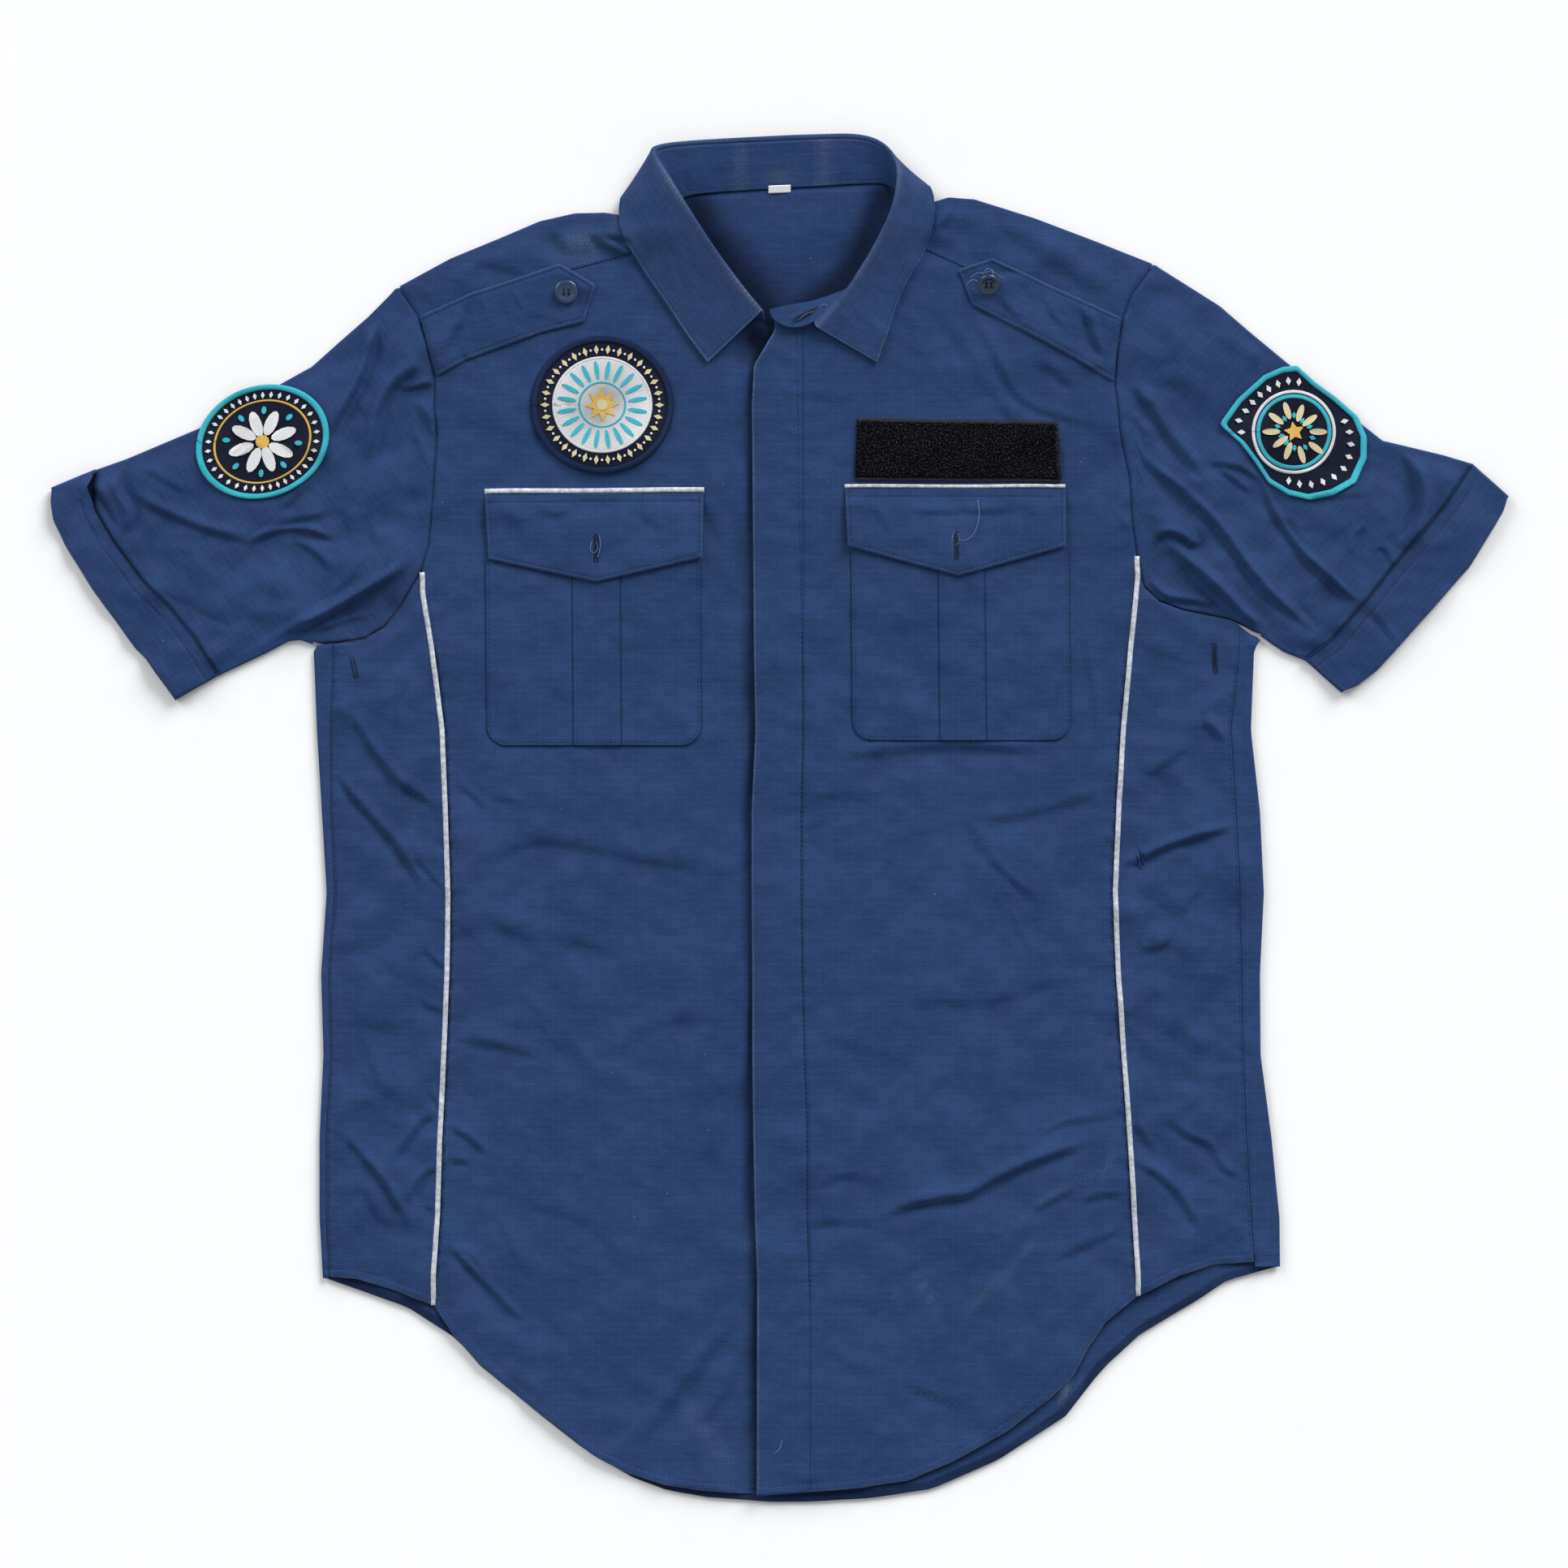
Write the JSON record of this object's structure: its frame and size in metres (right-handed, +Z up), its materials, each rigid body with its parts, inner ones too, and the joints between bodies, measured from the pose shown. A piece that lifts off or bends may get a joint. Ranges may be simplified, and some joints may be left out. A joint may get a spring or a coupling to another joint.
{
  "type": "police uniform shirt",
  "caption": "Short-sleeved navy patrol shirt laid flat, with collar, shoulder straps, flap pockets, reflective piping, loop strip and embroidered patches.",
  "frame": {"origin": "centre of the bounding box on the table plane, under the middle of the back panel", "axes": "+X towards the wearer's left sleeve, +Y from the hem to the collar, +Z up from the table"},
  "size_m": [0.897, 0.8416, 0.0207],
  "materials": {
    "navy_cloth": "matte navy ripstop cotton blend",
    "white_piping": "silver-white reflective piping tape",
    "black_loop": "black fuzzy loop tape",
    "patch_thread": "dense satin-stitch embroidery, navy ground",
    "navy_button": "glossy navy resin",
    "white_label": "smooth white woven tape"
  },
  "bodies": {
    "root": {"back_panel": "navy_cloth", "yoke": "navy_cloth", "front_right": "navy_cloth", "front_left": "navy_cloth", "placket": "navy_cloth", "side_front_right": "navy_cloth", "side_front_left": "navy_cloth", "side_piping_right": "white_piping", "side_piping_left": "white_piping", "sleeve_right": "navy_cloth", "sleeve_left": "navy_cloth", "cuff_right": "navy_cloth", "cuff_left": "navy_cloth", "collar_band": "navy_cloth", "collar_leaf": "navy_cloth", "epaulette_right": "navy_cloth", "epaulette_left": "navy_cloth", "button_right": "navy_button", "button_left": "navy_button", "pocket_right": "navy_cloth", "pocket_left": "navy_cloth", "flap_right": "navy_cloth", "flap_left": "navy_cloth", "flap_piping_right": "white_piping", "flap_piping_left": "white_piping", "loop_strip": "black_loop", "chest_patch": "patch_thread", "sleeve_patch_right": "patch_thread", "sleeve_patch_left": "patch_thread", "size_label": "white_label"}
  },
  "joints": []
}
